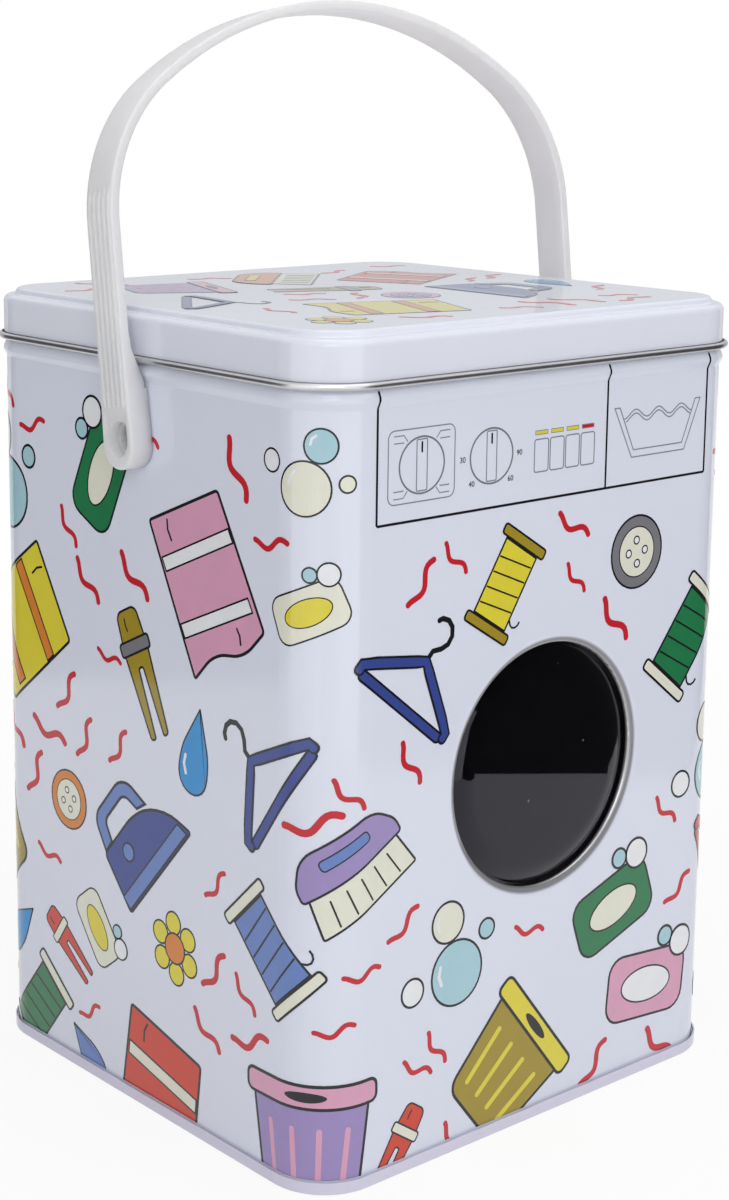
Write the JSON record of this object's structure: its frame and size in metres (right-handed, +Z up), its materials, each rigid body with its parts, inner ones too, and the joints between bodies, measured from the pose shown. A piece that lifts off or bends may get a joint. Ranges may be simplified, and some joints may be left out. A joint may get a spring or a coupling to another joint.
{
  "type": "laundry powder tin",
  "caption": "Rounded square tinplate box for laundry powder, with a lift-off lid, a round clear window in the front and a swinging plastic bail handle.",
  "frame": {"origin": "centre of the footprint, on the surface that the tin stands on", "axes": "+Z up, -Y towards the window side, +X along the handle's pegs"},
  "size_m": [0.1546, 0.139, 0.2742],
  "materials": {
    "lacquered_tin": "glossy white lacquer on tinplate",
    "base_tin": "pale grey lilac lacquer on tinplate",
    "lid_tin": "glossy white lacquer on tinplate, bare edge",
    "clear_pane": "smoke tinted polished sheet",
    "milky_plastic": "milky translucent moulded plastic"
  },
  "bodies": {
    "tin": {"body_shell": "lacquered_tin", "base_plate": "base_tin", "window_pane": "clear_pane"},
    "lid": {"lid": "lid_tin"},
    "handle": {"handle": "milky_plastic"}
  },
  "joints": [
    {"name": "handle_swing", "type": "hinge", "parent": "tin", "child": "handle", "pos_m": [0, 0, 0.17071], "axis": [1, 0, 0], "range_deg": [-108, 122]},
    {"name": "lid_lift", "type": "slide", "parent": "tin", "child": "lid", "axis": [0, 0, 1], "range_m": [0, 0.015]}
  ]
}
